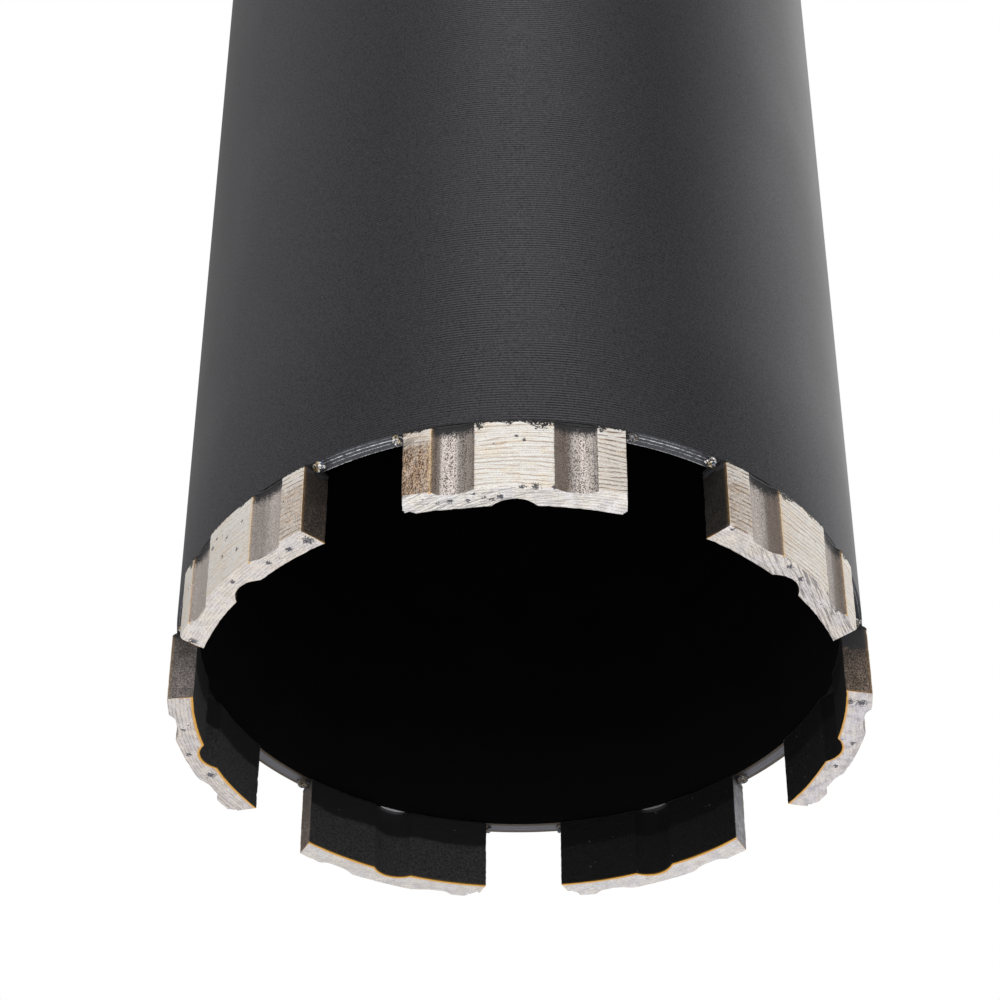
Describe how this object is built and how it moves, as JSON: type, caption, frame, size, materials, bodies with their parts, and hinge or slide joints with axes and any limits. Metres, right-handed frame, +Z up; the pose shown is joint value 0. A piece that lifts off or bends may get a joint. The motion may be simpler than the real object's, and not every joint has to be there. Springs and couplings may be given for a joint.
{
  "type": "diamond core bit",
  "caption": "Long steel barrel with grooved diamond segments round its open lower edge and a threaded hub on a back plate at the top, for wet core drilling in concrete.",
  "frame": {"origin": "on the bit's axis, in the plane of the cutting faces", "axes": "+Z up along the axis from the cutting faces to the threaded hub; the first segment points towards -Y"},
  "size_m": [0.082, 0.0817, 0.488],
  "materials": {
    "barrel_coat": "satin black coat over fine turning lines",
    "segment_matrix": "ground sintered metal and diamond, duller in the grooves and dark on the ends",
    "seam_metal": "fused laser seam, dark with small bright beads",
    "plate_coat": "satin black coat",
    "hub_steel": "turned steel, lightly oiled",
    "weld_steel": "rippled weld bead"
  },
  "bodies": {
    "root": {"barrel": "barrel_coat", "segment_1": "segment_matrix", "segment_2": "segment_matrix", "segment_3": "segment_matrix", "segment_4": "segment_matrix", "segment_5": "segment_matrix", "segment_6": "segment_matrix", "segment_7": "segment_matrix", "segment_weld_1": "seam_metal", "segment_weld_2": "seam_metal", "segment_weld_3": "seam_metal", "segment_weld_4": "seam_metal", "segment_weld_5": "seam_metal", "segment_weld_6": "seam_metal", "segment_weld_7": "seam_metal", "back_plate": "plate_coat", "plate_weld": "plate_coat", "coupling_hub": "hub_steel", "hub_weld": "weld_steel"}
  },
  "joints": []
}
